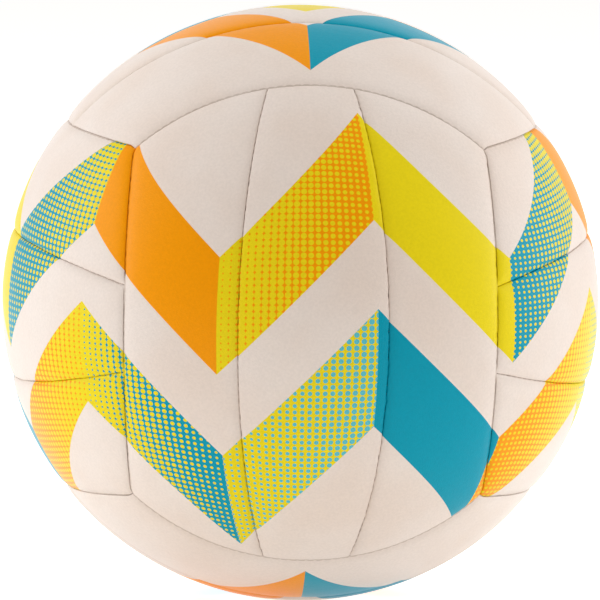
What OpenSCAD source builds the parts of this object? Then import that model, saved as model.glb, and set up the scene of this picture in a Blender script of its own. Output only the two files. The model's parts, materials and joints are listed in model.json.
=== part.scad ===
// Volleyball with eighteen sewn panels
// Origin at the ball's centre, +Z up, the pictured group of panels towards -Y and the valve at +Y

/* [Ball] */
// Outside diameter of the ball
ball_d = 213; // [150:1:240]

/* [Seams] */
// Angle from the middle of a panel group to its outer seams, half way along them
outer_seam_angle = 37.64; // [36.5:0.01:39]
// Angle from the middle of a panel group to its inner seams, half way along them
inner_seam_angle = 14.34; // [11:0.01:17]
// Lean of an inner seam's plane away from the middle plane of its group
inner_seam_lean = 16.27; // [4:0.01:20]
// Gap between the turned-in edges of two panels
seam_gap = 0.1; // [0.04:0.01:0.3]
// Depth of the rolled edge, down the seam
roll_depth = 1.1; // [0.6:0.1:1.6]
// Width of the rolled edge, along the cover
roll_width = 1.5; // [0.8:0.1:2.4]

/* [Layers] */
// Thickness of the synthetic leather
skin_t = 1.2; // [0.9:0.1:1.6]
// Thickness of the foam pads
foam_t = 2.4; // [1.8:0.1:4]
// Thickness of the backing cloth and of the valve's patch
cloth_t = 0.4; // [0.2:0.1:0.8]
// Thickness of the bladder's wall
bladder_t = 0.8; // [0.5:0.1:1.6]
// Clearance between neighbouring layers
layer_gap = 0.1; // [0.05:0.01:0.2]

/* [Thread] */
// Diameter of the sewing thread
thread_d = 0.6; // [0.3:0.1:1]
// Depth from the rolled edge down to the thread's bed
thread_cover = 0.3; // [0.1:0.1:0.6]
// Length left free of thread before seams meet
thread_end = 1.6; // [1.2:0.1:3]

/* [Valve] */
// Diameter of the valve's neck, in the cover
neck_d = 9; // [8:0.1:12]
// Depth of the neck's top below the cover
neck_recess = 0.5; // [0.2:0.1:1]
// Bevel of the hole in the cover, round the neck
hole_bevel = 0.4; // [0.2:0.1:0.8]
// Diameter of the flange that is bonded inside the bladder
flange_d = 24; // [18:1:32]
// Thickness of that flange at its edge
flange_t = 1.2; // [0.8:0.1:2]
// Diameter of the tube inside the bladder
tube_d = 8; // [7.4:0.1:8.8]
// Length of the whole housing
housing_l = 18; // [16:1:24]
// Diameter of the self-sealing plug
plug_d = 5; // [4:0.1:5.6]
// Depth of the plug's top below the neck's top
plug_recess = 0.3; // [0.1:0.1:0.8]
// Length of the plug
plug_l = 12; // [11:0.5:14]
// Diameter of the opening at the housing's inner end
outlet_d = 2.6; // [1.6:0.1:3]
// Diameter of the needle bore
bore_d = 2.2; // [2:0.1:2.6]
// Length of the needle bore
bore_l = 8; // [6:0.5:9]
// Diameter of the reinforcing patch
patch_d = 30; // [26:1:36]

/* [Hidden] */
$fn = 96;
ball_r = ball_d / 2;
// Each layer lies one clearance inside the one above it
skin_in_r = ball_r - skin_t;
foam_out_r = skin_in_r - layer_gap;
foam_in_r = foam_out_r - foam_t;
cloth_out_r = foam_in_r - layer_gap;
cover_in_r = cloth_out_r - cloth_t;
bladder_out_r = cover_in_r - layer_gap;
bladder_in_r = bladder_out_r - bladder_t;
// How far cutting bodies reach past the ball
reach = ball_d;
// The last point of a rolled edge, this far above the cover, so that the edge meets it cleanly
roll_overrun = 0.04;
roll_steps = 3;

// Where three outer seams meet, each coordinate has this value
corner = ball_r / sqrt(3);
// Every outer seam lies in a plane through two such corners
outer_seam_lean = atan((corner - ball_r * sin(outer_seam_angle)) / (corner - ball_r * cos(outer_seam_angle)));
outer_dist = ball_r * sin(outer_seam_angle - outer_seam_lean);
inner_dist = ball_r * sin(inner_seam_angle - inner_seam_lean);

wall_inset = seam_gap / 2;
lining_inset = wall_inset + skin_t + layer_gap;
pocket_inset = wall_inset + skin_t;
bed_half = thread_d / 2 + layer_gap;
bed_depth = roll_depth + thread_cover + bed_half;

hole_r = neck_d / 2 + layer_gap;
neck_top = ball_r - neck_recess;
flange_out_r = bladder_in_r - layer_gap;
flange_bottom = sqrt(pow(flange_out_r, 2) - pow(flange_d / 2, 2)) - flange_t;
housing_bottom = neck_top - housing_l;
plug_top = neck_top - plug_recess;
plug_bottom = plug_top - plug_l;

leather_colour = "antiquewhite";
foam_colour = "whitesmoke";
cloth_colour = "gainsboro";
thread_colour = "ivory";
rubber_colour = "dimgray";
valve_colour = "black";

// Each face has a name, a half turn, a turn about the ball's diagonal, and the names of its three strips
FACES = [
    ["front", 0, 0, ["left", "centre", "right"]],
    ["rear", 180, 0, ["right", "centre", "left"]],
    ["bottom", 0, 120, ["front", "centre", "rear"]],
    ["top", 180, 120, ["rear", "centre", "front"]],
    ["left", 0, 240, ["bottom", "centre", "top"]],
    ["right", 180, 240, ["top", "centre", "bottom"]]
];
// The outer seams run in three directions, each along the sides of two opposite faces
EDGE_PAIRS = [["upright", 0, 1], ["crosswise", 2, 3], ["lengthwise", 4, 5]];
STRIPS = [0, 1, 2];
SIDES = [-1, 1];

function strip_name(face, strip) = str(face[0], "_", face[3][strip]);
function panel_node(face, strip) = str(strip_name(face, strip), "_panel");
function foam_node(face, strip) = str(strip_name(face, strip), "_foam");
function cloth_node(face) = str(face[0], "_cloth");
function strip_thread_node(face) = str(face[0], "_strip_thread");
function edge_thread_node(pair) = str(pair[0], "_edge_thread");
function has_valve(face, strip) = face[0] == "rear" && strip == 1;

// Radius of the circle that a plane at this distance cuts from a sphere
function circle_r(sphere_r, dist) = sqrt(pow(sphere_r, 2) - pow(dist, 2));

// A point on the curve that starts at a, bends near b and ends at c
function bend(a, b, c, t) = pow(1 - t, 2) * a + 2 * t * (1 - t) * b + pow(t, 2) * c;

// Outline of a panel's wall, turned about the seam's axis, with its thread bed and its rolled edge
function wall_outline(dist) =
    let (
        wall = dist - wall_inset,
        edge_r = circle_r(ball_r, wall),
        bed_r = circle_r(ball_r, dist) - bed_depth,
        roll_end = atan2(wall, edge_r) - roll_width / ball_r * 180 / PI,
        outward = [cos(roll_end), sin(roll_end)]
    )
    concat(
        [
            [0, -reach],
            [0, wall],
            [bed_r - bed_half, wall],
            [bed_r - bed_half, dist - bed_half],
            [bed_r + bed_half, dist - bed_half],
            [bed_r + bed_half, wall]
        ],
        [
            for (i = [0:roll_steps])
                bend([edge_r - roll_depth, wall], [edge_r, wall], (ball_r + roll_overrun) * outward, i / roll_steps)
        ],
        [
            reach * outward,
            [reach, -reach]
        ]
    );

// Turns of the walls of a strip in the front face, at its sides and at its ends
function side_turn(side, lean) = [0, 90, side > 0 ? lean : 180 - lean];
function end_turn(side) = [side > 0 ? outer_seam_lean - 90 : -outer_seam_lean - 90, 0, 0];

// The walls of a strip, its ends first: 0 on the left, 1 in the middle, 2 on the right, each a turn and a distance
function strip_walls(strip) = concat(
    [for (side = SIDES) [end_turn(side), -outer_dist]],
    strip == 1
        ? [for (side = SIDES) [side_turn(side, inner_seam_lean), inner_dist]]
        : let (side = strip - 1) [
            [side_turn(side, outer_seam_lean), outer_dist],
            [side_turn(-side, -inner_seam_lean), -inner_dist]
        ]
);

module face_turn(face) {
    rotate(a = face[2], v = [1, 1, 1])
        rotate([0, 0, face[1]])
            children();
}

// All that lies behind a wall with a thread bed and a rolled edge
module behind_rolled(wall) {
    rotate(wall[0])
        rotate_extrude()
            polygon(wall_outline(wall[1]));
}

// All that lies behind a plain wall, set back by an inset
module behind_plain(wall, inset) {
    rotate(wall[0])
        translate([0, 0, wall[1] - inset - reach])
            cylinder(r = reach, h = reach);
}

// A layer of a strip, between two radii and inside four plain walls
module strip_layer(strip, out_r, in_r, inset) {
    difference() {
        intersection() {
            sphere(r = out_r);
            inside_walls(strip, inset);
        }
        sphere(r = in_r);
    }
}

// All that lies inside the four plain walls of a strip
module inside_walls(strip, inset) {
    walls = strip_walls(strip);
    intersection() {
        behind_plain(walls[0], inset);
        behind_plain(walls[1], inset);
        behind_plain(walls[2], inset);
        behind_plain(walls[3], inset);
    }
}

// The hole for the valve, through the middle of the front face before it is turned to the rear
module valve_hole(r) {
    rotate([90, 0, 0])
        cylinder(r = r, h = reach);
}

module hole_rim() {
    rotate([90, 0, 0])
        translate([0, 0, ball_r - hole_bevel])
            cylinder(r1 = hole_r, r2 = hole_r + 2 * hole_bevel, h = 2 * hole_bevel);
}

module panel(face, strip) {
    walls = strip_walls(strip);
    color(leather_colour)
        face_turn(face)
            difference() {
                intersection() {
                    sphere(r = ball_r);
                    behind_rolled(walls[0]);
                    behind_rolled(walls[1]);
                    behind_rolled(walls[2]);
                    behind_rolled(walls[3]);
                }
                sphere(r = cover_in_r);
                intersection() {
                    sphere(r = skin_in_r);
                    inside_walls(strip, pocket_inset);
                }
                if (has_valve(face, strip)) {
                    valve_hole(hole_r);
                    hole_rim();
                }
            }
}

module foam(face, strip) {
    color(foam_colour)
        face_turn(face)
            difference() {
                strip_layer(strip, foam_out_r, foam_in_r, lining_inset);
                if (has_valve(face, strip))
                    valve_hole(hole_r);
            }
}

module cloth(face) {
    color(cloth_colour)
        face_turn(face)
            for (strip = STRIPS)
                difference() {
                    strip_layer(strip, cloth_out_r, cover_in_r, lining_inset);
                    if (has_valve(face, strip))
                        valve_hole(patch_d / 2 + layer_gap);
                }
}

// A run of thread in a side seam of the front face, half_arc to each end from its middle
module seam_thread(side, lean, dist, half_arc) {
    rotate(side_turn(side, lean))
        rotate([0, 0, -90 * side - half_arc])
            rotate_extrude(angle = 2 * half_arc)
                translate([circle_r(ball_r, dist) - bed_depth, dist])
                    circle(d = thread_d, $fn = 24);
}

// Half the arc of an inner seam, up to the plane of the outer seam that ends it
function inner_half_arc() =
    let (
        bed_r = circle_r(ball_r, inner_dist) - bed_depth,
        a = bed_r * cos(inner_seam_lean) * cos(outer_seam_lean),
        b = bed_r * sin(outer_seam_lean),
        c = outer_dist + inner_dist * sin(inner_seam_lean) * cos(outer_seam_lean)
    )
    acos(c / sqrt(pow(a, 2) + pow(b, 2))) - atan2(b, a) - thread_end / bed_r * 180 / PI;

// Half the arc of an outer seam, up to the corner
function outer_half_arc() =
    let (bed_r = circle_r(ball_r, outer_dist) - bed_depth)
    asin(corner / circle_r(ball_r, outer_dist)) - thread_end / bed_r * 180 / PI;

module strip_thread(face) {
    color(thread_colour)
        face_turn(face)
            for (side = SIDES)
                seam_thread(side, inner_seam_lean, inner_dist, inner_half_arc());
}

module edge_thread(pair) {
    color(thread_colour)
        for (face = [FACES[pair[1]], FACES[pair[2]]])
            face_turn(face)
                for (side = SIDES)
                    seam_thread(side, outer_seam_lean, outer_dist, outer_half_arc());
}

// Turns what stands along +Z at the ball's centre towards the valve
module valve_axis() {
    rotate([-90, 0, 0])
        children();
}

module bladder() {
    color(rubber_colour)
        difference() {
            sphere(r = bladder_out_r);
            sphere(r = bladder_in_r);
            valve_axis()
                cylinder(r = hole_r, h = reach);
        }
}

module valve_housing() {
    color(valve_colour)
        valve_axis()
            difference() {
                union() {
                    intersection() {
                        sphere(r = flange_out_r, $fn = 240);
                        translate([0, 0, flange_bottom])
                            cylinder(d = flange_d, h = reach);
                    }
                    translate([0, 0, flange_bottom])
                        cylinder(d = neck_d, h = neck_top - flange_bottom);
                    translate([0, 0, housing_bottom])
                        cylinder(d = tube_d, h = housing_l - neck_recess);
                }
                translate([0, 0, plug_bottom])
                    cylinder(r = plug_d / 2 + layer_gap, h = reach);
                cylinder(d = outlet_d, h = reach);
            }
}

module valve_plug() {
    color(rubber_colour)
        valve_axis()
            difference() {
                translate([0, 0, plug_bottom + layer_gap])
                    cylinder(d = plug_d, h = plug_l - layer_gap);
                translate([0, 0, plug_top - bore_l])
                    cylinder(d = bore_d, h = reach);
            }
}

module valve_patch() {
    color(cloth_colour)
        valve_axis()
            difference() {
                intersection() {
                    sphere(r = cloth_out_r);
                    cylinder(d = patch_d, h = reach);
                }
                sphere(r = cover_in_r);
                cylinder(r = hole_r, h = reach);
            }
}

for (face = FACES)
    for (strip = STRIPS) {
        panel(face, strip);
        foam(face, strip);
    }
for (face = FACES) {
    cloth(face);
    strip_thread(face);
}
for (pair = EDGE_PAIRS)
    edge_thread(pair);
bladder();
valve_housing();
valve_plug();
valve_patch();
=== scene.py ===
import json
import math
import random
import bpy
import bmesh
import numpy as np
from mathutils import Matrix, Vector


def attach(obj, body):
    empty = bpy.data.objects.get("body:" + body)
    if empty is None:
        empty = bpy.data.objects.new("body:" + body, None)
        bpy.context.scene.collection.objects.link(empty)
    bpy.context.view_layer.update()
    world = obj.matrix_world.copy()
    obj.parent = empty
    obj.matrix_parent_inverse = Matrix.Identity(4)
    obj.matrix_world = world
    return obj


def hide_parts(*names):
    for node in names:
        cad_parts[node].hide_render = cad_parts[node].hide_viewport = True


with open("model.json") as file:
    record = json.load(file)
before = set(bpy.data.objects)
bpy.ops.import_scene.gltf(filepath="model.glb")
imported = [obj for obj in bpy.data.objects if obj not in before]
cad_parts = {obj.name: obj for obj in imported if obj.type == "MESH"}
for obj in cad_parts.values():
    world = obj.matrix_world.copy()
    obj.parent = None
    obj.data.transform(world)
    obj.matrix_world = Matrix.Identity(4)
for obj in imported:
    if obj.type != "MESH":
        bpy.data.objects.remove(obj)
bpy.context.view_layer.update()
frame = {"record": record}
mountPlaces = {mount["name"]: mount["pos_m"] for mount in frame["record"]["mounts"]}
ballRadius = abs(mountPlaces["rest_point"][2])
boreMouth = mountPlaces["needle_bore"][1]
mm = 0.001
white = (1, 1, 1, 1)


def addObject(name, data):
    made = bpy.data.objects.new(name, data)
    bpy.context.scene.collection.objects.link(made)
    return made


# The photograph was taken with a long lens, from a little left of the ball and a little above it
cameraSettings = {
    "distance": 23.877,  # in ball radii
    "yaw": 2.616,
    "pitch": 6.468,
    "roll": 0.547,
    "outline": 298.4,  # radius of the ball's outline, in the photograph's pixels
    "centreRight": 0.28,  # of the ball's centre, from the middle of the photograph
    "centreDown": 2.6,
    "photoWidth": 600,
    "sensor": 36,
}


def makeCamera(settings):
    turn = Matrix.Identity(3)
    for key, axis in (("roll", "Y"), ("pitch", "X"), ("yaw", "Z")):
        turn = turn @ Matrix.Rotation(math.radians(settings[key]), 3, axis)
    right, forward, up = (row.copy() for row in turn)
    place = -forward * settings["distance"] * ballRadius
    focalPixels = settings["outline"] * math.sqrt(settings["distance"] ** 2 - 1)
    # The view is aimed a little beside the ball's centre, so the lens needs no shift
    aim = forward - right * (settings["centreRight"] / focalPixels) + up * (settings["centreDown"] / focalPixels)
    forward = aim.normalized()
    right = (right - forward * right.dot(forward)).normalized()
    up = right.cross(forward)
    data = bpy.data.cameras.new("photoCamera")
    data.sensor_width = settings["sensor"]
    data.lens = settings["sensor"] * focalPixels / settings["photoWidth"]
    camera = addObject("photoCamera", data)
    camera.matrix_world = Matrix((right, up, -forward)).transposed().to_4x4()
    camera.location = place
    bpy.context.scene.camera = camera
    print("camera ready, lens", round(data.lens, 1))


# The ball has six groups of three panels, and every seam lies in a plane
seamSettings = {
    "outerAngle": 37.64,  # from a group's middle to its outer seams
    "innerAngle": 14.34,  # and to its inner seams
    "innerLean": 16.27,  # how far an inner seam's plane leans
    "gap": 0.1 * mm,
}
stripNames = {
    "front": ("left", "centre", "right"),
    "rear": ("right", "centre", "left"),
    "bottom": ("front", "centre", "rear"),
    "top": ("rear", "centre", "front"),
    "left": ("bottom", "centre", "top"),
    "right": ("top", "centre", "bottom"),
}
valveStrip = ("rear", 1)
# A group is the front one, given a half turn about Z where its sign is -1, then turned in thirds about the diagonal
groupTurns = {"front": (1, 0), "rear": (-1, 0), "bottom": (1, 1), "top": (-1, 1), "left": (1, 2), "right": (-1, 2)}

outerAngle = math.radians(seamSettings["outerAngle"])
innerAngle = math.radians(seamSettings["innerAngle"])
innerLean = math.radians(seamSettings["innerLean"])
cornerShare = 1 / math.sqrt(3)  # where three groups meet, each coordinate is this share of the radius
outerLean = math.atan2(math.sin(outerAngle) - cornerShare, math.cos(outerAngle) - cornerShare)
outerDist = math.sin(outerAngle - outerLean)
innerDist = math.sin(innerAngle - innerLean)


def turnedTo(group, points):
    sign, thirds = groupTurns[group]
    return np.roll(points * np.array((sign, sign, 1.0)), thirds, axis=-1)


def turnedFrom(group, points):
    sign, thirds = groupTurns[group]
    return np.roll(points, -thirds, axis=-1) * (sign, sign, 1.0)


def makeSeam(normal, dist, along):
    # normal points out of the panel, dist is in ball radii, and middle points half way along the seam
    normal, along = np.array(normal, float), np.array(along, float)
    middle = np.cross(along, normal)
    if middle[1] > 0:
        middle = -middle
    return {"normal": normal, "dist": dist, "along": along, "middle": middle}


def sideSeam(side, kind):
    lean, dist = (outerLean, outerDist) if kind == "outer" else (innerLean, innerDist)
    return makeSeam((side * math.cos(lean), math.sin(lean), 0), dist, (0, 0, 1))


def flipped(seam):
    return {**seam, "normal": -seam["normal"], "dist": -seam["dist"]}


def endSeam(side):
    return makeSeam((0, math.cos(outerLean), side * math.sin(outerLean)), -outerDist, (1, 0, 0))


def stripSeams(strip):
    # Low side, high side, low end and high end of a strip of the front group
    sides = {
        0: (sideSeam(-1, "outer"), flipped(sideSeam(-1, "inner"))),
        1: (sideSeam(-1, "inner"), sideSeam(1, "inner")),
        2: (flipped(sideSeam(1, "inner")), sideSeam(1, "outer")),
    }[strip]
    return [*sides, endSeam(-1), endSeam(1)]


def stripSize(strip):
    edges = (-outerAngle, -innerAngle, innerAngle, outerAngle)[strip : strip + 2]
    return (edges[1] - edges[0]) * ballRadius, 2 * (math.acos(outerDist) - outerLean) * ballRadius


def stripGrid(strip, inset, radius, across, along):
    # Unit directions over a strip at some radius, inset from its seams. Rows run along the strip
    low, high = stripSeams(strip)[:2]
    starts = [(seam["dist"] * ballRadius - inset) / radius / seam["normal"][0] for seam in (low, high)]
    slopes = [seam["normal"][1] / seam["normal"][0] for seam in (low, high)]
    edges = [math.asin(a / math.hypot(1, b)) + math.atan(b) for a, b in zip(starts, slopes)]
    longitude = edges[0] + (edges[1] - edges[0]) * across
    share = (np.sin(longitude) - starts[0] - slopes[0] * np.cos(longitude)) / (
        starts[1] - starts[0] + (slopes[1] - slopes[0]) * np.cos(longitude)
    )
    start = (starts[0] + share * (starts[1] - starts[0]))[None, :]
    slope = (slopes[0] + share * (slopes[1] - slopes[0]))[None, :]
    endDist = (outerDist * ballRadius + inset) / radius
    rise, base = 1 / math.tan(outerLean), endDist / math.sin(outerLean)
    latitude = (math.acos(endDist) - outerLean) * (2 * along - 1)
    lift = (np.sin(latitude) / (rise * np.cos(latitude) - base))[:, None]
    a = 1 + slope**2 + (lift * rise) ** 2
    b = start * slope - lift**2 * rise * base
    c = start**2 + (lift * base) ** 2 - 1
    depth = (-b + np.sqrt(b**2 - a * c)) / a
    return np.stack([start + slope * depth, -depth, lift * (rise * depth - base)], -1)


def loopOf(across, along):
    # Grid places round the edge, with their shares of each side: four runs that share their ends
    rows, columns = len(along), len(across)
    return (
        ([(0, j) for j in range(columns)], across),
        ([(i, columns - 1) for i in range(rows)], along),
        ([(rows - 1, j) for j in reversed(range(columns))], 1 - across[::-1]),
        ([(i, 0) for i in reversed(range(rows))], 1 - along[::-1]),
    )


def zipRuns(upper, upperShares, lower, lowerShares):
    # Triangles between two runs of points that may have different counts
    faces, i, j = [], 0, 0
    while i < len(upper) - 1 or j < len(lower) - 1:
        if j == len(lower) - 1 or (i < len(upper) - 1 and upperShares[i + 1] <= lowerShares[j + 1]):
            faces.append((upper[i], lower[j], upper[i + 1]))
            i += 1
        else:
            faces.append((upper[i], lower[j], lower[j + 1]))
            j += 1
    return faces


class ShellMesh:
    # Collects grids and the walls between their edges, then makes one closed mesh
    def __init__(self):
        self.points, self.faces = [], []

    def grid(self, points, flip):
        rows, columns = points.shape[:2]
        first = self.keep(points.reshape(-1, 3))
        for i in range(rows - 1):
            for j in range(columns - 1):
                a = first + i * columns + j
                quad = (a, a + 1, a + columns + 1, a + columns)
                self.faces.append(quad[::-1] if flip else quad)
        return lambda place: first + place[0] * columns + place[1]

    def ring(self, points, across, along):
        indices = {}
        for run, _ in loopOf(across, along):
            for place in run:
                if place not in indices:
                    indices[place] = self.keep([points[place]])
        return indices.__getitem__

    def keep(self, points):
        self.points.extend(points)
        return len(self.points) - len(points)

    def wall(self, upper, upperShares, lower, lowerShares):
        for (upperRun, shares), (lowerRun, others) in zip(loopOf(*upperShares), loopOf(*lowerShares)):
            self.faces += zipRuns([upper(p) for p in upperRun], shares, [lower(p) for p in lowerRun], others)

    def build(self, name, group):
        piece = meshObject(name, turnedTo(group, np.array(self.points)), self.faces)
        fixNormals(piece)
        return piece


def meshObject(name, points, faces, edges=()):
    mesh = bpy.data.meshes.new(name)
    mesh.from_pydata([tuple(p) for p in points], edges, faces)
    mesh.update()
    return addObject(name, mesh)


def fixNormals(piece):
    shape = bmesh.new()
    shape.from_mesh(piece.data)
    bmesh.ops.recalc_face_normals(shape, faces=shape.faces)
    shape.to_mesh(piece.data)
    shape.free()


def smoothShade(piece, angle):
    mesh = piece.data
    mesh.polygons.foreach_set("use_smooth", np.ones(len(mesh.polygons), bool))
    mesh.set_sharp_from_angle(angle=math.radians(angle))


def applyModifiers(piece):
    mesh = bpy.data.meshes.new_from_object(piece.evaluated_get(bpy.context.evaluated_depsgraph_get()))
    piece.modifiers.clear()
    piece.data = mesh


def placesOf(piece):
    places = np.zeros(len(piece.data.vertices) * 3, np.float32)
    piece.data.vertices.foreach_get("co", places)
    return places.reshape(-1, 3).astype(float)


def setAttribute(piece, name, kind, values):
    field = "vector" if kind == "FLOAT_VECTOR" else "value"
    piece.data.attributes.new(name, kind, "POINT").data.foreach_set(field, np.asarray(values, np.float32).ravel())


def titled(*words):
    return words[0] + "".join(word.capitalize() for word in words[1:])


def finished(piece, node, material=None):
    if material:
        piece.data.materials.clear()
        piece.data.materials.append(material)
    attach(piece, "root")
    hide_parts(node)


def addNode(tree, kind, sockets, settings):
    made = tree.nodes.new(kind)
    for name, value in settings.items():
        setattr(made, name, value)
    for name, value in sockets.items():
        if isinstance(value, bpy.types.NodeSocket):
            tree.links.new(value, made.inputs[name])
        else:
            made.inputs[name].default_value = value
    return made.outputs


# Shader work
class Signal:
    # Wraps a shader socket, so that arithmetic on it adds Math nodes
    def __init__(self, finish, socket):
        self.finish, self.socket = finish, socket

    def math(self, operation, *others):
        return self.finish.node("Math", dict(enumerate([self, *others])), operation=operation)

    def angle(self, across):
        # Angle that this is the rise of, in degrees
        return self.math("ARCTAN2", across) * (180 / math.pi)

    def __add__(self, other):
        return self.math("ADD", other)

    def __sub__(self, other):
        return self.math("SUBTRACT", other)

    def __mul__(self, other):
        return self.math("MULTIPLY", other)

    def __truediv__(self, other):
        return self.math("DIVIDE", other)

    def __rsub__(self, other):
        return self.finish.node("Math", {0: other, 1: self}, operation="SUBTRACT")

    def __abs__(self):
        return self.math("ABSOLUTE")


class Finish:
    # The nodes of a new material or world
    def __init__(self, name, owners=bpy.data.materials):
        self.owner = owners.new(name)
        self.owner.use_nodes = True
        self.tree = self.owner.node_tree
        self.tree.nodes.clear()

    def node(self, kind, sockets={}, output=0, **settings):
        plain = {name: value.socket if isinstance(value, Signal) else value for name, value in sockets.items()}
        outputs = addNode(self.tree, "ShaderNode" + kind, plain, settings)
        return Signal(self, outputs[output]) if outputs else None

    def split(self, vector):
        return [Signal(self, socket) for socket in self.node("SeparateXYZ", {0: vector}).socket.node.outputs]

    def place(self):
        return self.node("TexCoord", output="Object")

    def attribute(self, name, output):
        return self.node("Attribute", output=output, attribute_name=name)

    def noise(self, vector, scale, detail, roughness=0.5):
        sockets = {"Vector": vector, "Scale": scale, "Detail": detail, "Roughness": roughness}
        return self.node("TexNoise", sockets, "Fac")

    def cells(self, vector, scale):
        return self.node("TexVoronoi", {"Vector": vector, "Scale": scale}, "Distance", feature="F1")

    def between(self, value, low, high, start=0.0, end=1.0):
        # start below low, end above high, and smooth from one to the other
        sockets = {"Value": value, "From Min": low, "From Max": high, "To Min": start, "To Max": end}
        return self.node("MapRange", sockets, interpolation_type="SMOOTHSTEP")

    def below(self, value, limit):
        # 1 below the limit and 0 above it, with the soft edge of a print
        edge = leatherSettings["printEdge"]
        return 1 - self.between(value, limit - edge, limit + edge)

    def steps(self, share, colours):
        # Splits 0 to 1 into equal parts, one for each colour
        picked = self.node("ValToRGB", {"Fac": share})
        ramp = picked.socket.node.color_ramp
        ramp.interpolation = "CONSTANT"
        while len(ramp.elements) < len(colours):
            ramp.elements.new(1)
        for k, (element, colour) in enumerate(zip(ramp.elements, colours)):
            element.position = k / len(colours)
            element.color = colour
        return picked

    def mix(self, share, first, second, blend="MIX"):
        return self.node("Mix", {0: share, 6: first, 7: second}, 2, data_type="RGBA", blend_type=blend)

    def bump(self, height, distance, strength, onto=None):
        sockets = {"Height": height, "Distance": distance, "Strength": strength}
        if onto is not None:
            sockets["Normal"] = onto
        return self.node("Bump", sockets)

    def seen(self):
        # 1 for what the camera sees, straight, in gloss or through glass, and 0 for other light
        share = 0
        for kind in ("Camera", "Glossy", "Transmission"):
            share = self.node("LightPath", output=f"Is {kind} Ray").math("MAXIMUM", share)
        return share

    def surface(self, colour, roughness, normal, **others):
        sockets = {"Base Color": colour, "Roughness": roughness, "Normal": normal, **others}
        self.node("OutputMaterial", {"Surface": self.node("BsdfPrincipled", sockets)})
        return self.owner


def linear(red, green, blue):
    # A colour as a painter's program gives it, in the renderer's linear values
    shares = [c / 255 for c in (red, green, blue)]
    return (*(c / 12.92 if c <= 0.04045 else ((c + 0.055) / 1.055) ** 2.4 for c in shares), 1.0)


# Leather and its print
leatherSettings = {
    "cream": linear(234, 223, 216),
    "creamWarm": linear(230, 215, 205),
    "lime": linear(235, 214, 24),
    "teal": linear(0, 152, 178),
    "orange": linear(245, 154, 0),
    "cyan": linear(92, 190, 206),
    # painted shade, with some dirt, multiplies the cover by this colour at the seams and round the valve's hole
    "seamShade": linear(150, 128, 108),
    "printEdge": 0.03,  # half the width of a print's soft edge, in degrees
    "dotEdge": 0.035,
    "inkValues": (0.965, 1.03),  # darkest and lightest, where ink takes unevenly
    # Where dirt with painted shade in a seam's groove, and painted shade on the cover beside it, start and end, in mm,
    # and how strong they are
    "dirt": (0.02, 0.2, 0.3),
    "shade": (0.3, 4.0, 0.05),
    "plainRoughness": 0.38,
    "inkRoughness": 0.33,
    "unevenRoughness": 0.08,
    "dustRoughness": (0.2, 1.6, 0.12),  # as for the groove's dirt and painted shade
    "index": 1.2,
    # Noise scales, and the heights and strengths of what they raise
    "cloudScale": 26,
    "speckleScale": 1100,
    "roughnessScale": 60,
    "creaseScale": 210,
    "creases": (0.12 * mm, 0.6),
    "poreScale": 2300,
    "grainScale": 1500,
    "grain": (0.08 * mm, 0.9),
}
# Two parallel zigzag bands run round the ball. Angles are in degrees
bandSettings = {
    "leg": 30,  # longitude that one leg of the zigzag spans
    "start": -18,
    "thickness": 23,
    "dotsAcross": 252,  # dots in the whole turn
    "dotRise": 1.23,
    "sizeLift": 0.2,  # keeps dot sizes above zero while a colour ramp carries them
    # How high each band's middle line lies. For four legs in turn: base colour, dot colour, and the dots' size at
    # the leg's start and end
    "bands": {
        19: (
            ("orange", "lime", 0.66, 0.28),
            ("lime", "lime", -0.2, -0.2),
            ("teal", "lime", 0.22, 0.5),
            ("orange", "orange", -0.2, -0.2),
        ),
        -21: (
            ("lime", "cyan", 0.2, 0.46),
            ("teal", "teal", -0.2, -0.2),
            ("orange", "lime", 0.24, 0.6),
            ("teal", "lime", 0.64, 0.2),
        ),
    },
}
# A diamond frame lies on the top and on the bottom of the ball
diamondSettings = {"inner": 17, "outer": 34, "heart": 8, "change": 0.01}


def bandPrint(finish, axes, shifts, ground, settings):
    x, y, z = axes
    longitude = x.angle(y * -1) + shifts[0]
    # Nearly the plane of each face's middle, with no kink between two faces
    flat = (x * x * x * x + y * y * y * y).math("POWER", 0.25)
    rise = z.angle(flat) + shifts[1]
    dotSpan, dotRise, leg = 360 / settings["dotsAcross"], settings["dotRise"], settings["leg"]
    across, up = longitude * (1 / dotSpan), rise / dotRise
    narrowing = (rise * (math.pi / 180)).math("COSINE")
    # How far from the nearest dot's centre
    right = (across.math("FRACT") - 0.5) * narrowing * dotSpan
    above = (up.math("FRACT") - 0.5) * dotRise
    reach = (right * right + above * above).math("SQRT")
    dotLongitude = (across.math("FLOOR") + 0.5) * dotSpan
    zigzag = (longitude - settings["start"]).math("PINGPONG", leg) - leg / 2
    legNumber = ((longitude - settings["start"]) / leg).math("FLOOR")
    turn = (legNumber / 4).math("FRACT") + 0.125
    share = (dotLongitude - settings["start"]) / leg - legNumber
    colour, ink, lift = ground, 0, settings["sizeLift"]
    for row, legs in settings["bands"].items():
        base, dots = (finish.steps(turn, [leatherSettings[kind[k]] for kind in legs]) for k in (0, 1))
        first, last, _ = finish.split(finish.steps(turn, [(kind[2] + lift, kind[3] + lift, 0, 1) for kind in legs]))
        size = first + (last - first) * share - lift
        inDot = 1 - finish.between(reach - size * dotRise, -leatherSettings["dotEdge"], leatherSettings["dotEdge"])
        inBand = finish.below(abs(rise - row - zigzag), settings["thickness"] / 2)
        colour = finish.mix(inBand, colour, finish.mix(inDot, base, dots))
        ink = inBand + ink
    return colour, ink


def diamondPrint(finish, axes, shifts, ground, settings):
    x, y, z = axes
    a, b = x.angle(abs(z)) + shifts[0], y.angle(abs(z)) + shifts[1]
    spread = abs(a) + abs(b)
    inner, outer, heart = (finish.below(spread, settings[key]) for key in ("inner", "outer", "heart"))
    sameSide = finish.between(a * b, -settings["change"], settings["change"])
    frameColour = finish.mix(sameSide, leatherSettings["teal"], leatherSettings["orange"])
    colour = finish.mix(outer - inner, ground, frameColour)
    return finish.mix(heart, colour, leatherSettings["lime"]), outer - inner + heart


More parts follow.
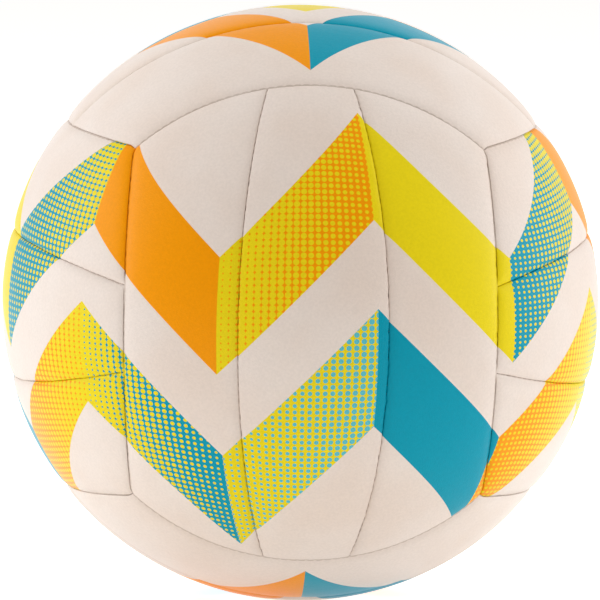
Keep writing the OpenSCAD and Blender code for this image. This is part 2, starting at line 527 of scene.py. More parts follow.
def printedLeather(name, makePrint, printSettings, settings):
    finish = Finish(name)
    place = finish.place()
    # The undyed skin is a little uneven, and warmer where it has been handled
    clouds = finish.between(finish.noise(place, settings["cloudScale"], 3), 0.3, 0.75)
    ground = finish.mix(clouds, settings["cream"], settings["creamWarm"])
    shifts = finish.split(finish.attribute("printShift", "Vector"))
    colour, ink = makePrint(finish, finish.split(place), shifts, ground, printSettings)
    speckle = finish.between(finish.noise(place, settings["speckleScale"], 2), 0.2, 0.8, *settings["inkValues"])
    hue = finish.node("HueSaturation", {"Value": speckle, "Color": colour})
    # Dirt and painted shade darken the seams' grooves, painted shade darkens the cover beside them, and dust makes them
    # rougher
    seam = finish.attribute("seamDistance", "Fac")
    dirt, shade, dust = (finish.between(seam, *settings[key], 0) for key in ("dirt", "shade", "dustRoughness"))
    shaded = finish.mix(dirt + shade, hue, settings["seamShade"], "MULTIPLY")
    roughness = settings["plainRoughness"] - ink * (settings["plainRoughness"] - settings["inkRoughness"])
    uneven = (finish.noise(place, settings["roughnessScale"], 3) - 0.5) * settings["unevenRoughness"]
    pores = finish.cells(place, settings["poreScale"])
    grain = finish.noise(place, settings["grainScale"], 3, 0.6)
    creases = finish.noise(place, settings["creaseScale"], 3, 0.6)
    normal = finish.bump(creases, *settings["creases"])
    normal = finish.bump(grain * 0.5 + pores * 0.5, *settings["grain"], normal)
    return finish.surface(shaded, roughness + uneven + dust, normal, IOR=settings["index"])


# Cover panels
coverSettings = {
    "skin": 1.2 * mm,  # thickness of the synthetic leather
    "lipGap": 0.05 * mm,  # between the rolled edges of two panels
    "depth": 4.2 * mm,  # how deep its turned-in edge reaches
    "rollDepth": 0.17 * mm,
    "rollWidth": 0.36 * mm,
    "cornerEase": 0.5,  # how much shallower the rolled edges are where seams meet
    "cornerReach": 2.2 * mm,
    # How much lower the cover lies beside a seam, and over what width
    "pillows": ((0.16 * mm, 0.6 * mm), (0.62 * mm, 1.8 * mm), (0.36 * mm, 5 * mm), (0.1 * mm, 14 * mm)),
    "stitchPitch": 3.1 * mm,
    "pucker": 0.14 * mm,  # how far each stitch draws the edge in
    "puckerWidth": 1.4 * mm,
    "hollow": 0.36 * mm,  # how deep the seam gapes between two stitches
    "hollowWidth": 0.2 * mm,
    "closing": (0.95, 1.5),  # how much of the gape a stitch closes, and how suddenly
    "clean": 0.24 * mm,  # how much narrower the dirt and painted shade in a seam are at a stitch
    "wander": 0.26 * mm,  # how far the seam line strays from its plane
    "lumps": 0.14 * mm,
    "evenLumps": 0.6,
    # Each wave has a share, a wavelength and a seed. Stitches and gaps vary about the even share
    "evenShare": 0.75,
    "stitchWaves": ((0.35, 9 * mm, 3),),
    "gapWaves": ((0.4, 6 * mm, 4),),
    "strayWaves": ((0.6, 3.4 * mm, 5), (0.5, 12 * mm, 7)),
    "lumpWaves": ((0.7, 46 * mm, 1), (0.3, 17 * mm, 2)),
    "slantReach": 0.9 * mm,  # over which the surface is lowered along the seam's plane
    "straightReach": 1.5 * mm,  # from a corner, where it is lowered straight instead
    "bedInset": 0.42 * mm,  # room for the thread below the rolled edge
    "bedTop": 2.6 * mm,
    "fineSteps": (0, 0.03, 0.08, 0.15, 0.24, 0.35, 0.48, 0.64, 0.86, 1.15, 1.55, 2.1),  # from a seam, in mm
    "step": 0.55 * mm,
    "innerStep": 6 * mm,
    "sharpAngle": 50,
    "printShift": 0.3,  # how far a panel's print may be off, in degrees
}


def spacing(length, fineSteps, step):
    # Shares from 0 to 1, close together at both ends
    fine = np.array(fineSteps) * mm / length
    middle = np.linspace(fine[-1], 1 - fine[-1], max(2, round((1 - 2 * fine[-1]) * length / step)))
    return np.concatenate([fine[:-1], middle, 1 - fine[:-1][::-1]])


def ripple(points, wavelength, seed):
    # A smooth value between -1 and 1 that depends only on the place
    total = 0
    for k in range(5):
        angle, tilt = seed * 1.7 + k * 2.4, seed * 0.9 + k * 1.3
        way = np.array([math.cos(angle) * math.cos(tilt), math.sin(angle) * math.cos(tilt), math.sin(tilt)])
        total = total + np.sin(points @ way * (2 * math.pi / wavelength) * (0.8 + 0.13 * k) + seed + 2 * k)
    return total / 3.2


def waves(points, parts):
    return sum(share * ripple(points, wavelength, seed) for share, wavelength, seed in parts)


def seamReadings(strip, group, directions):
    # For each seam: the distance from it, the place along it, its nearest point, and a sign for the side
    readings = []
    for seam in stripSeams(strip):
        distance = (math.asin(seam["dist"]) - np.arcsin(directions @ seam["normal"])) * ballRadius
        ringRadius = math.sqrt(1 - seam["dist"] ** 2) * ballRadius
        angle = np.arctan2(directions @ seam["along"], directions @ seam["middle"])[..., None]
        onSeam = seam["normal"] * seam["dist"] * ballRadius + (
            np.sin(angle) * seam["along"] + np.cos(angle) * seam["middle"]
        ) * ringRadius
        outward = turnedTo(group, seam["normal"])
        side = np.sign(outward[np.argmax(np.abs(outward) > 0.2)])
        readings.append((distance, angle[..., 0] * ringRadius, turnedTo(group, onSeam), side))
    return readings


def stitchPhase(place, settings):
    # 1 at a stitch and 0 half way between two
    return 0.5 + 0.5 * np.cos(2 * math.pi * place / settings["stitchPitch"])


def coverDrop(readings, points, settings):
    # How far the cover lies below the ball's radius
    roll, pillow, pucker = 0, 0, 0
    closing, power = settings["closing"]
    for distance, place, onSeam, side in readings:
        phase = stitchPhase(place, settings)
        stitch = phase**2 * (settings["evenShare"] + waves(onSeam, settings["stitchWaves"]))
        gaping = (1 - closing * phase**power) * (settings["evenShare"] + waves(onSeam, settings["gapWaves"]))
        shifted = distance - side * settings["wander"] * waves(onSeam, settings["strayWaves"])
        edge = np.clip(1 - shifted / settings["rollWidth"], 0, 1)
        roll = roll + (settings["rollDepth"] * (1 - np.sqrt(1 - edge**2))) ** 4
        near = np.maximum(distance, 0)
        pillow = pillow + sum(depth * np.exp(-near / width) for depth, width in settings["pillows"]) ** 3
        drawn = settings["pucker"] * stitch * np.exp(-near / settings["puckerWidth"])
        drawn = drawn + settings["hollow"] * gaping * np.exp(-((np.maximum(shifted, 0) / settings["hollowWidth"]) ** 2))
        pucker = pucker + drawn**2
    lumps = settings["evenLumps"] * (1 - waves(points, settings["lumpWaves"]))
    ease = 1 - settings["cornerEase"] * cornerNearness(readings, settings["cornerReach"])
    return (roll**0.25 + pucker**0.5) * ease + pillow ** (1 / 3) + settings["lumps"] * lumps


def cornerNearness(readings, reach):
    # 1 where two seams meet, and 0 away from there
    sides, ends = (np.minimum(readings[k][0], readings[k + 1][0]) for k in (0, 2))
    return np.exp(-(sides**2 + ends**2) / reach**2)


def sunk(strip, directions, readings, drop, settings):
    # Lowers the surface: down the seam's plane beside a seam, and straight down elsewhere and at the corners
    straight = cornerNearness(readings, settings["straightReach"])
    seams = stripSeams(strip)
    normals, shares = [], []
    for first, second in ((0, 1), (2, 3)):
        nearer = (readings[first][0] < readings[second][0])[..., None]
        normal = np.where(nearer, seams[first]["normal"], seams[second]["normal"])
        distance = np.maximum(np.minimum(readings[first][0], readings[second][0]), 0)
        lean = np.exp(-distance / settings["slantReach"]) * np.sum(directions * normal, axis=-1)
        normals.append(normal)
        shares.append((1 - straight) * lean)
    slant = np.sum(normals[0] * normals[1], axis=-1)
    down = directions.copy()
    for normal, share, other in ((normals[0], *shares), (normals[1], *shares[::-1])):
        down -= ((share - slant * other) / (1 - slant**2))[..., None] * normal
    down /= np.linalg.norm(down, axis=-1, keepdims=True)
    return directions * ballRadius - down * drop[..., None]


def makePanel(group, strip, settings, material):
    gap, size = settings["lipGap"] / 2, stripSize(strip)
    fine = tuple(spacing(side, settings["fineSteps"], settings["step"]) for side in size)
    coarse = tuple(np.linspace(0, 1, max(4, round(side / settings["innerStep"]))) for side in size)
    directions = stripGrid(strip, gap, ballRadius, *fine)
    readings = seamReadings(strip, group, directions)
    drop = coverDrop(readings, turnedTo(group, directions) * ballRadius, settings)
    shell = ShellMesh()
    top, shares = shell.grid(sunk(strip, directions, readings, drop, settings), False), fine
    floorRadius, skinRadius = ballRadius - settings["depth"], ballRadius - settings["skin"]
    rings = [
        (settings["bedInset"], ballRadius - settings["bedTop"]),
        (settings["bedInset"], floorRadius),
        (gap + settings["skin"], floorRadius),
    ]
    for inset, radius in rings:
        ring = shell.ring(stripGrid(strip, inset, radius, *coarse) * radius, *coarse)
        shell.wall(top, shares, ring, coarse)
        top, shares = ring, coarse
    lining = shell.grid(stripGrid(strip, gap + settings["skin"], skinRadius, *coarse) * skinRadius, True)
    shell.wall(top, coarse, lining, coarse)
    name = stripNames[group][strip]
    piece = shell.build(titled("cover", group, name), group)
    if (group, strip) == valveStrip:
        cutValveHole(piece, valveSettings)
    smoothShade(piece, settings["sharpAngle"])
    markPanel(piece, group, strip, settings)
    chance = random.Random(group + name)
    shift = [chance.uniform(-settings["printShift"], settings["printShift"]) for _ in range(2)] + [0]
    setAttribute(piece, "printShift", "FLOAT_VECTOR", np.tile(shift, (len(piece.data.vertices), 1)))
    finished(piece, f"{group}_{name}_panel", material)


def markPanel(piece, group, strip, settings):
    # Stores how far each point is from the nearest seam or from the valve's hole, for the dirt and painted shade that
    # darken the cover there
    places = placesOf(piece)
    directions = turnedFrom(group, places / np.linalg.norm(places, axis=1)[:, None])
    distances = [
        distance + settings["clean"] * stitchPhase(place, settings) ** 4
        for distance, place, _, _ in seamReadings(strip, group, directions)
    ]
    nearest = np.min(distances, axis=0)
    if (group, strip) == valveStrip:
        rim = np.hypot(places[:, 0], places[:, 2]) - valveSettings["holeRadius"]
        nearest = np.where(places[:, 1] > 0, np.minimum(nearest, rim), nearest)
    setAttribute(piece, "seamDistance", "FLOAT", np.maximum(nearest, 0) / mm)


# Turned pieces, about the valve's axis
def turnedProfile(name, profile, segments, ring=False):
    # Turns points of radius and place along +Y. A ring's profile ends where it starts
    points, rings = [], []
    for radius, place in profile:
        count = segments if radius > 0 else 1
        rings.append(range(len(points), len(points) + count))
        for k in range(count):
            angle = 2 * math.pi * k / segments
            points.append((radius * math.cos(angle), place, radius * math.sin(angle)))
    faces = []
    for low, high in zip(rings, rings[1:] + (rings[:1] if ring else [])):
        for k in range(segments):
            a, b = low[k % len(low)], low[(k + 1) % len(low)]
            c, d = high[(k + 1) % len(high)], high[k % len(high)]
            corners = list(dict.fromkeys((a, b, c, d)))
            if len(corners) > 2:
                faces.append(corners)
    piece = meshObject(name, points, faces)
    fixNormals(piece)
    smoothShade(piece, valveSettings["sharpAngle"])
    return piece


def rounded(corner, before, after, steps=6):
    # The curve that rounds a profile's corner, between two offsets from it
    corner = np.array(corner, float)
    start, end = corner + before, corner + after
    return [tuple((1 - t) ** 2 * start + 2 * t * (1 - t) * corner + t**2 * end) for t in np.linspace(0, 1, steps)]


def onSphere(radius, distance):
    return math.sqrt(radius**2 - distance**2)


# A rubber housing with a self-sealing plug stands in the middle of the rear group
valveSettings = {
    "neckRadius": 4.5 * mm,
    "holeRadius": 4.6 * mm,
    "rimRound": 1.1 * mm,  # how far the cover's edge rolls into the hole
    "rimDrop": 1.2 * mm,
    "rimLean": 0.1 * mm,
    "rimCut": (3 * mm, 6 * mm, 8 * mm),  # how far the rim's cutter reaches out, up and down
    "rimBeside": (0.7 * mm, 0.8 * mm),  # how far across and down the cover counts as beside the rim
    "rimSteps": 10,
    "lip": 0.55 * mm,  # how round the neck's edge is
    "groove": 3.5 * mm,  # radius of a moulded groove round the plug's seat
    "grooveShape": ((-0.2, 0), (-0.1, 0.15), (0.1, 0.15), (0.2, 0)),  # across and down, in mm
    "flangeRadius": 12 * mm,
    "flange": 1.2 * mm,
    "flangeTop": 101.3 * mm,  # radius of the flange's domed top, from the ball's centre
    "flangeRound": 0.4 * mm,
    "tubeRadius": 4 * mm,
    "tubeRound": 0.6 * mm,
    "length": 18 * mm,
    "plugRadius": 2.5 * mm,
    "plugRecess": 0.3 * mm,
    "plugLength": 12 * mm,
    "plugRound": 0.35 * mm,
    "plugFootRound": 0.5 * mm,
    "seat": 0.1 * mm,  # clearance round the plug
    "seatRound": 0.3 * mm,
    "outletRadius": 1.3 * mm,
    "boreRadius": 1.1 * mm,
    "boreLength": 8 * mm,
    "boreRound": 0.4 * mm,
    "funnel": 0.35 * mm,
    "flangeSteps": 10,
    "segments": 96,
    "sharpAngle": 40,
    "cutAbove": 5 * mm,  # how far the other cutters reach beyond the ball's radius and below it
    "cutBelow": 9 * mm,
}


def makeValveHousing(settings, material):
    top = boreMouth + settings["plugRecess"]
    neck, tube, lip, groove = (settings[key] for key in ("neckRadius", "tubeRadius", "lip", "groove"))
    seat, outlet, flange = settings["plugRadius"] + settings["seat"], settings["outletRadius"], settings["flangeRadius"]
    seatRound, flangeRound, tubeRound = (settings[key] for key in ("seatRound", "flangeRound", "tubeRound"))
    flangeFoot = onSphere(settings["flangeTop"], flange) - settings["flange"]
    bottom, plugFoot = top - settings["length"], boreMouth - settings["plugLength"]
    profile = [(seat, plugFoot)]
    profile += rounded((seat, top), (0, -seatRound), (seatRound, 0))
    profile += [(groove + across * mm, top - down * mm) for across, down in settings["grooveShape"]]
    profile += rounded((neck, top), (-lip, 0), (0, -lip))
    radii = np.linspace(neck, flange, settings["flangeSteps"])
    profile += [(radius, onSphere(settings["flangeTop"], radius)) for radius in radii]
    profile += rounded((flange, flangeFoot), (0, flangeRound), (-flangeRound, 0))
    profile += rounded((tube, flangeFoot), (tubeRound, 0), (0, -tubeRound))
    profile += rounded((tube, bottom), (0, tubeRound), (-tubeRound, 0))
    profile += [(outlet, bottom), (outlet, plugFoot)]
    piece = turnedProfile("valveHousingRubber", profile, settings["segments"], True)
    finished(piece, "valve_housing", material)


def makeValvePlug(settings, material):
    top, foot = boreMouth, boreMouth - settings["plugLength"] + settings["seat"]
    bore, radius, boreFloor = settings["boreRadius"], settings["plugRadius"], top - settings["boreLength"]
    boreRound, funnel, plugRound, footRound = (
        settings[key] for key in ("boreRound", "funnel", "plugRound", "plugFootRound")
    )
    profile = [(0, boreFloor)]
    profile += rounded((bore, boreFloor), (-boreRound, 0), (0, boreRound))
    profile += rounded((bore, top), (0, -funnel), (funnel, 0))
    profile += rounded((radius, top), (-plugRound, 0), (0, -plugRound))
    profile += rounded((radius, foot), (0, footRound), (-footRound, 0))
    profile += [(0, foot)]
    piece = turnedProfile("valvePlugRubber", profile, settings["segments"])
    finished(piece, "valve_plug", material)


def cutWith(piece, profile):
    cutter = turnedProfile("cutter", profile, valveSettings["segments"])
    cut = piece.modifiers.new("hole", "BOOLEAN")
    cut.operation = "DIFFERENCE"
    cut.solver = "EXACT"
    cut.object = cutter
    applyModifiers(piece)
    bpy.data.objects.remove(cutter)


def cutRound(piece, radius):
    top, foot = ballRadius + valveSettings["cutAbove"], ballRadius - valveSettings["cutBelow"]
    cutWith(piece, [(0, top), (radius, top), (radius, foot), (0, foot)])


def cutValveHole(panel, settings):
    hole, lean = settings["holeRadius"], settings["rimLean"]
    reach = hole + settings["rimRound"]
    places = placesOf(panel)
    spread = np.hypot(places[:, 0], places[:, 2])
    # The rim starts level with the cover beside it
    across, deep = settings["rimBeside"]
    beside = places[(abs(spread - reach) < across) & (places[:, 1] > ballRadius - deep)]
    level = beside[:, 1].mean()
    out, up, down = settings["rimCut"]
    top, foot = level + up, ballRadius - down
    profile = [(0, top), (reach + out, top)]
    before, after = (settings["rimRound"] - lean, lean), (-lean, lean - settings["rimDrop"])
    profile += rounded((hole + lean, level - lean), before, after, settings["rimSteps"])
    profile += [(hole, foot), (0, foot)]
    cutWith(panel, profile)


# Layers under the cover
layerSettings = {
    "gap": 0.1 * mm,  # clearance between layers
    "foam": 2.4 * mm,
    "cloth": 0.4 * mm,
    "bladder": 0.8 * mm,
    "foamRound": 0.35 * mm,  # how round a pad's edges are
    "foamSteps": (0, 0.105, 0.35),  # from an edge, in mm
    "clothSteps": (0, 0.4),
    "foamStep": 3 * mm,
    "clothStep": 4 * mm,
    "partingRidge": 0.06 * mm,  # left on the bladder by its mould
    "ridgeWidth": 0.5 * mm,
    "patchRadius": 15 * mm,
    "patchBevel": 0.12 * mm,
    "patchRim": 0.15 * mm,
    "patchSteps": 12,
    "bladderSteps": 90,
    "bladderSegments": 160,
    "sharpAngle": 45,
}
liningInset = seamSettings["gap"] / 2 + coverSettings["skin"] + layerSettings["gap"]
foamOuter = ballRadius - coverSettings["skin"] - layerSettings["gap"]
foamInner = foamOuter - layerSettings["foam"]
clothOuter = foamInner - layerSettings["gap"]
clothInner = clothOuter - layerSettings["cloth"]
bladderOuter = clothInner - layerSettings["gap"]
bladderInner = bladderOuter - layerSettings["bladder"]


def addLayer(shell, strip, radii, fineSteps, step, edge=0):
    size = stripSize(strip)
    shares = tuple(spacing(side, fineSteps, step) for side in size)
    outside, inside = (stripGrid(strip, liningInset, radius, *shares) for radius in radii)
    drop = 0
    if edge:
        toSide, toEnd = (np.minimum(share, 1 - share) * side for share, side in zip(shares, size))
        rounding = np.clip(1 - np.minimum(toSide[None, :], toEnd[:, None]) / edge, 0, 1)
        drop = (edge * (1 - np.sqrt(1 - rounding**2)))[..., None]
    upper = shell.grid(outside * (radii[0] - drop), False)
    lower = shell.grid(inside * (radii[1] + drop), True)
    shell.wall(upper, shares, lower, shares)


def makeFoamPad(group, strip, settings, material):
    shell = ShellMesh()
    radii = (foamOuter, foamInner)
    addLayer(shell, strip, radii, settings["foamSteps"], settings["foamStep"], settings["foamRound"])
    name = stripNames[group][strip]
    piece = shell.build(titled("foamPad", group, name), group)
    if (group, strip) == valveStrip:
        cutRound(piece, valveSettings["holeRadius"])
    smoothShade(piece, settings["sharpAngle"])
    finished(piece, f"{group}_{name}_foam", material)


def clothArea():
    # Of the three strips of a lining, from above
    shares = np.linspace(0, 1, 60)
    area = 0
    for strip in range(3):
        grid = stripGrid(strip, liningInset, clothOuter, shares, shares) * clothOuter
        sides = np.cross(grid[1:, :-1] - grid[:-1, :-1], grid[:-1, 1:] - grid[:-1, :-1])
        area += float(np.linalg.norm(sides, axis=-1).sum())
    return area


def makeLining(group, settings, material):
    shell = ShellMesh()
    for strip in range(3):
        addLayer(shell, strip, (clothOuter, clothInner), settings["clothSteps"], settings["clothStep"])
    piece = shell.build(titled("lining", group), group)
    if group == valveStrip[0]:
        cutRound(piece, settings["patchRadius"] + settings["gap"])
    smoothShade(piece, settings["sharpAngle"])
    finished(piece, f"{group}_cloth", material)
    width, length = 2 * outerAngle * clothOuter, stripSize(1)[1] * clothOuter / ballRadius
    min(clothArea(), width * length)


def makeBladder(settings, material):
    profile = []
    for radius, ridge, way in ((bladderOuter, settings["partingRidge"], 1), (bladderInner, 0, -1)):
        start = math.asin(valveSettings["holeRadius"] / radius)
        for angle in np.linspace(start, math.pi, settings["bladderSteps"])[::way]:
            fromRidge = (angle - math.pi / 2) * radius
            reach = radius + ridge * math.exp(-((fromRidge / settings["ridgeWidth"]) ** 2))
            profile.append((abs(reach * math.sin(angle)) * (angle < math.pi), reach * math.cos(angle)))
    piece = turnedProfile("bladderRubber", profile, settings["bladderSegments"], True)
    finished(piece, "bladder", material)


def makePatch(settings, material):
    hole, edge, bevel = valveSettings["holeRadius"], settings["patchRadius"], settings["patchBevel"]
    radii = np.linspace(hole, edge - settings["patchRim"], settings["patchSteps"])
    rim = onSphere(clothOuter, edge)
    profile = [(radius, onSphere(clothOuter, radius)) for radius in radii]
    profile += [(edge, rim - bevel), (edge, rim - settings["cloth"] + bevel)]
    profile += [(radius, onSphere(clothInner, radius)) for radius in radii[::-1]]
    piece = turnedProfile("valvePatchCloth", profile, valveSettings["segments"], True)
    finished(piece, "valve_patch", material)


# Sewing. A seam's line gets a thread, and a stitch across it at every pitch
threadSettings = {
    "threadRadius": 0.3 * mm,
    "bedDepth": 3 * mm,  # of the thread's run, below the cover's radius
    "stitchDepth": 2.8 * mm,  # of the stitches that draw two edges together
    "stitchWidth": 0.9 * mm,
    "stitchPitch": 3.1 * mm,
    "freeEnd": 1.6 * mm,
    "step": 1.6 * mm,
    "seed": 7,
    "sharpAngle": 60,
}


def seamTree():
    tree = bpy.data.node_groups.new("sewnSeam", "GeometryNodeTree")
    tree.is_modifier = True
    floats = ("threadRadius", "bedDepth", "stitchDepth", "stitchWidth", "stitchPitch")
    kinds = {"Geometry": "Geometry", **dict.fromkeys(floats, "Float"), "seed": "Int", "material": "Material"}
    for name, kind in kinds.items():
        tree.interface.new_socket(name=name, in_out="INPUT", socket_type="NodeSocket" + kind)
    tree.interface.new_socket(name="Geometry", in_out="OUTPUT", socket_type="NodeSocketGeometry")

    def node(kind, sockets, output=0, **settings):
        return addNode(tree, kind, sockets, settings)[output]

    def tube(line, resolution):
        sockets = {"Resolution": resolution, "Radius": given["threadRadius"]}
        ring = node("GeometryNodeCurvePrimitiveCircle", sockets)
        return node("GeometryNodeCurveToMesh", {"Curve": line, "Profile Curve": ring, "Fill Caps": True})

    def times(value, factor):
        return node("ShaderNodeMath", {0: value, 1: factor}, operation="MULTIPLY")

    given = addNode(tree, "NodeGroupInput", {}, {})
    line = node("GeometryNodeMeshToCurve", {"Mesh": given["Geometry"]})
    length = node("GeometryNodeSplineParameter", {}, "Length")
    named = {"Geometry": line, "Name": "alongThread", "Value": length}
    marked = node("GeometryNodeStoreNamedAttribute", named, data_type="FLOAT", domain="POINT")
    cord = tube(marked, 8)

    pitch = {"Curve": line, "Length": given["stitchPitch"]}
    spots = addNode(tree, "GeometryNodeCurveToPoints", pitch, {"mode": "LENGTH"})
    outward = node("GeometryNodeInputNamedAttribute", {"Name": "outward"}, "Attribute", data_type="FLOAT_VECTOR")
    lift = node("ShaderNodeMath", {0: given["bedDepth"], 1: given["stitchDepth"]}, operation="SUBTRACT")
    offset = node("ShaderNodeVectorMath", {0: outward, "Scale": lift}, operation="SCALE")
    raised = node("GeometryNodeSetPosition", {"Geometry": spots["Points"], "Offset": offset})
    upright = node("FunctionNodeAlignRotationToVector", {"Vector": outward}, axis="Z")
    sockets = {"Rotation": upright, "Vector": spots["Tangent"]}
    turned = node("FunctionNodeAlignRotationToVector", sockets, axis="Y", pivot_axis="Z")

    low = times(given["threadRadius"], -1.0)
    start, end = (
        node("ShaderNodeCombineXYZ", {"X": times(given["stitchWidth"], share), "Z": low}) for share in (-0.5, 0.5)
    )
    crown = node("ShaderNodeCombineXYZ", {"Z": given["threadRadius"]})
    arch = {"Resolution": 4, "Start": start, "Middle": crown, "End": end}
    stitch = tube(node("GeometryNodeCurveQuadraticBezier", arch), 6)
    spread = {0: (0.85, 0.8, 0.8), 1: (1.15, 1.05, 1.05), "Seed": given["seed"]}
    size = node("FunctionNodeRandomValue", spread, "Value", data_type="FLOAT_VECTOR")
    sockets = {"Points": raised, "Instance": stitch, "Rotation": turned, "Scale": size}
    stitches = node("GeometryNodeInstanceOnPoints", sockets)
    together = tree.nodes.new("GeometryNodeJoinGeometry")
    for part in (stitches, cord):
        tree.links.new(part, together.inputs[0])
    real = node("GeometryNodeRealizeInstances", {"Geometry": together.outputs[0]})
    coloured = node("GeometryNodeSetMaterial", {"Geometry": real, "Material": given["material"]})
    addNode(tree, "NodeGroupOutput", {"Geometry": coloured}, {})
    return tree


def threadArc(kind, settings):
    # Half the arc that the thread covers, and its radius, in the seam's plane
    dist = innerDist if kind == "inner" else outerDist
    bed = ballRadius * math.sqrt(1 - dist**2) - settings["bedDepth"]
    if kind == "outer":
        return math.asin(cornerShare / math.sqrt(1 - dist**2)) - settings["freeEnd"] / bed, bed
    a, b = bed * math.cos(innerLean) * math.cos(outerLean), bed * math.sin(outerLean)
    c = (outerDist + innerDist * math.sin(innerLean) * math.cos(outerLean)) * ballRadius
    return math.acos(c / math.hypot(a, b)) - math.atan2(b, a) - settings["freeEnd"] / bed, bed


def makeThread(name, groups, kind, node, settings, tree, material):
    half, bed = threadArc(kind, settings)
    angles = np.linspace(-half, half, round(2 * half * bed / settings["step"]))[:, None]
    points, ways, edges = [], [], []
    for group in groups:
        for side in (-1, 1):
            seam = sideSeam(side, kind)
            way = np.cos(angles) * seam["middle"] + np.sin(angles) * seam["along"]
            edges += [(len(points) + k, len(points) + k + 1) for k in range(len(angles) - 1)]
            points.extend(turnedTo(group, seam["normal"] * seam["dist"] * ballRadius + way * bed))
            ways.extend(turnedTo(group, way))
    piece = meshObject(name, points, [], edges)
    setAttribute(piece, "outward", "FLOAT_VECTOR", ways)
    sewing = piece.modifiers.new("sewing", "NODES")
    sewing.node_group = tree
    values = {**settings, "material": material}
    for item in tree.interface.items_tree:
        if item.in_out == "INPUT" and item.name in values:
            sewing[item.identifier] = values[item.name]
    applyModifiers(piece)
    fixNormals(piece)
    smoothShade(piece, settings["sharpAngle"])
    finished(piece, node)


# Finishes of the pieces inside: two colours, a relief's height and strength, and the roughness with either colour
insideSettings = {
    "foam": (linear(240, 239, 232), linear(228, 226, 216), (0.15 * mm, 0.8), (0.95, 0.8)),
    "cloth": (linear(206, 202, 190), linear(236, 233, 224), (0.12 * mm, 0.9), (0.95, 0.8)),
    "thread": (linear(176, 160, 140), linear(226, 214, 198), (0.1 * mm, 0.8), (0.7, 0.5)),
    "bladder": (linear(30, 30, 31), linear(58, 57, 55), (0.04 * mm, 0.8), (0.55, 0.67)),
    "valve": (linear(24, 24, 25), linear(46, 46, 46), (0.04 * mm, 0.8), (0.4, 0.52)),
    "plug": (linear(74, 74, 72), linear(110, 108, 104), (0.04 * mm, 0.8), (0.6, 0.72)),
    "cloudScale": 90,
    "bubbleScale": 1600,
    "grainScales": {"bladder": 700, "valve": 900, "plug": 1100},
    "weavePitch": 0.7 * mm,
    "strandPitch": 0.9 * mm,
    "strandSlope": 4000,  # how fast the strands wind round the thread
    "bloomScale": 55,
}


def insideSurface(finish, kind, tone, relief, roughness=None):
    # The colour and the roughness follow the tone
    low, high, raised, rough = insideSettings[kind]
    if roughness is None:
        roughness = finish.between(tone, 0, 1, *rough)
    return finish.surface(finish.mix(tone, low, high), roughness, finish.bump(relief, *raised))


def foamFinish(settings):
    finish = Finish("paddingFoam")
    place = finish.place()
    bubbles = finish.cells(place, settings["bubbleScale"])
    clouds = finish.between(finish.noise(place, settings["cloudScale"], 3), 0.3, 0.7)
    return insideSurface(finish, "foam", clouds, bubbles, finish.between(bubbles, 0, 0.6, *settings["foam"][3]))


def clothFinish(settings):
    finish = Finish("liningCloth")
    x, y, z = (axis * (2 * math.pi / settings["weavePitch"]) for axis in finish.split(finish.place()))
    weave = x.math("SINE") * y.math("SINE") + z.math("SINE") * (x + y).math("COSINE")
    threads = finish.between(weave, -1.2, 1.2)
    return insideSurface(finish, "cloth", threads, threads)


def threadFinish(settings):
    finish = Finish("waxedThread")
    along = finish.attribute("alongThread", "Fac") * (2 * math.pi / settings["strandPitch"])
    x, y, z = finish.split(finish.place())
    twist = finish.between((along + (x + y + z) * settings["strandSlope"]).math("SINE"), -1, 1)
    return insideSurface(finish, "thread", twist, twist)


def rubberFinish(kind, settings):
    finish = Finish(kind + "Rubber")
    place = finish.place()
    bloom = finish.between(finish.noise(place, settings["bloomScale"], 4, 0.6), 0.35, 0.75)
    return insideSurface(finish, kind, bloom, finish.noise(place, settings["grainScales"][kind], 3, 0.6))


# Floor, backdrop and light
stageSettings = {
    "floorSize": 14,
    "floor": (0.92, 0.92, 0.92, 1),
    "floorFill": 0.24,
    "fibreScale": 300,
    "fibres": (0.1 * mm, 0.3),
    "fillColour": (1, 0.935, 0.86, 1),  # of the light that comes from all round
    "floorGlow": 0.48,  # added where the floor is seen, so that it shows white and keeps its shadow
    "world": 0.26,
    "lampDistance": 1.7,
    "sideColour": (0.93, 0.97, 1),
    "frontColour": (1, 0.98, 0.955),
    # Azimuth and elevation from the ball, in degrees, strength as a share of full white, and size
    "lamps": {
        "left": (-98, 16, 0.46, 1.3),
        "right": (98, 16, 0.46, 1.3),
        "leftFront": (-62, 10, 0.19, 0.5),
        "rightFront": (62, 10, 0.18, 0.5),
        "above": (160, 84, 0.5, 1.3),
    },
    "sideLamps": ("left", "right"),  # these two alone show in the gloss
}


def makeFloor(settings):
    half = settings["floorSize"] / 2
    corners = [(x * half, y * half, -ballRadius) for x, y in ((-1, -1), (1, -1), (1, 1), (-1, 1))]
    floor = meshObject("floor", corners, [(0, 1, 2, 3)])
    finish = Finish("palePaper")
    seen = finish.seen()
    fibres = finish.bump(finish.noise(finish.place(), settings["fibreScale"], 3), *settings["fibres"])
    paper = finish.node("BsdfDiffuse", {"Color": settings["floor"], "Normal": fibres})
    fill = seen * settings["floorGlow"] + settings["floorFill"]
    tint = finish.mix(seen, settings["fillColour"], white)
    glow = finish.node("Emission", {"Color": tint, "Strength": fill})
    finish.node("OutputMaterial", {"Surface": finish.node("AddShader", {0: paper, 1: glow})})
    floor.data.materials.append(finish.owner)


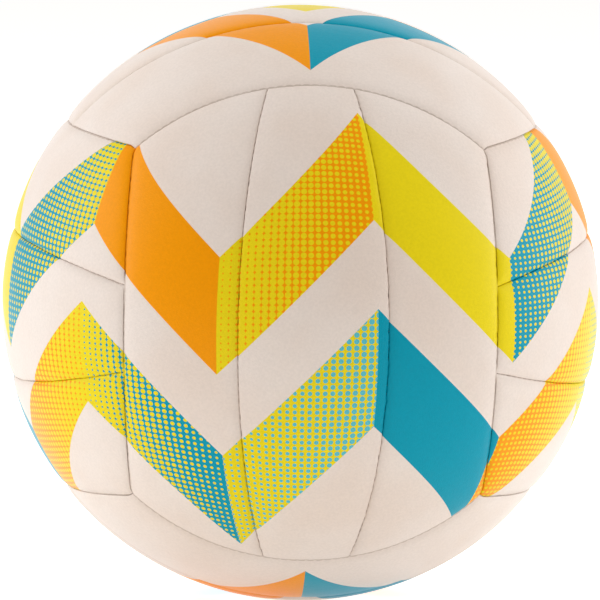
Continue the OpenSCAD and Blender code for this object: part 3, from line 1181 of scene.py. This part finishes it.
def makeLight(settings):
    finish = Finish("studio", bpy.data.worlds)
    seen = finish.seen()
    strength = seen * (1 - settings["world"]) + settings["world"]
    tint = finish.mix(seen, settings["fillColour"], white)
    finish.node("OutputWorld", {"Surface": finish.node("Background", {"Color": tint, "Strength": strength})})
    bpy.context.scene.world = finish.owner
    for name, (azimuth, elevation, share, size) in settings["lamps"].items():
        a, e = math.radians(azimuth), math.radians(elevation)
        way = Vector((math.sin(a) * math.cos(e), -math.cos(a) * math.cos(e), math.sin(e)))
        data = bpy.data.lights.new(name + "Lamp", "AREA")
        data.size = size
        data.color = settings["sideColour" if name in settings["sideLamps"] else "frontColour"]
        data.energy = share * math.pi**2 * settings["lampDistance"] ** 2
        lamp = addObject(name + "Lamp", data)
        lamp.location = way * settings["lampDistance"]
        lamp.rotation_euler = way.to_track_quat("Z", "Y").to_euler()
        lamp.visible_camera = False
        lamp.visible_glossy = name in settings["sideLamps"]


bpy.context.scene.view_settings.view_transform = "Standard"
makeCamera(cameraSettings)
makeFloor(stageSettings)
makeLight(stageSettings)
print("floor and light ready")

bandLeather = printedLeather("bandPrintedLeather", bandPrint, bandSettings, leatherSettings)
diamondLeather = printedLeather("diamondPrintedLeather", diamondPrint, diamondSettings, leatherSettings)
for group in groupTurns:
    for strip in range(3):
        makePanel(group, strip, coverSettings, diamondLeather if group in ("top", "bottom") else bandLeather)
print("cover panels ready")

foam, cloth = foamFinish(insideSettings), clothFinish(insideSettings)
for group in groupTurns:
    for strip in range(3):
        makeFoamPad(group, strip, layerSettings, foam)
    makeLining(group, layerSettings, cloth)
makePatch(layerSettings, cloth)
makeBladder(layerSettings, rubberFinish("bladder", insideSettings))
print("pads, lining and bladder ready")

tree, thread = seamTree(), threadFinish(insideSettings)
for group in groupTurns:
    makeThread(titled("stripThread", group), [group], "inner", f"{group}_strip_thread", threadSettings, tree, thread)
edgeGroups = {"upright": ("front", "rear"), "crosswise": ("bottom", "top"), "lengthwise": ("left", "right")}
for name, groups in edgeGroups.items():
    makeThread(titled(name, "edge", "thread"), groups, "outer", f"{name}_edge_thread", threadSettings, tree, thread)
print("sewing ready")

makeValveHousing(valveSettings, rubberFinish("valve", insideSettings))
makeValvePlug(valveSettings, rubberFinish("plug", insideSettings))
print("valve ready")
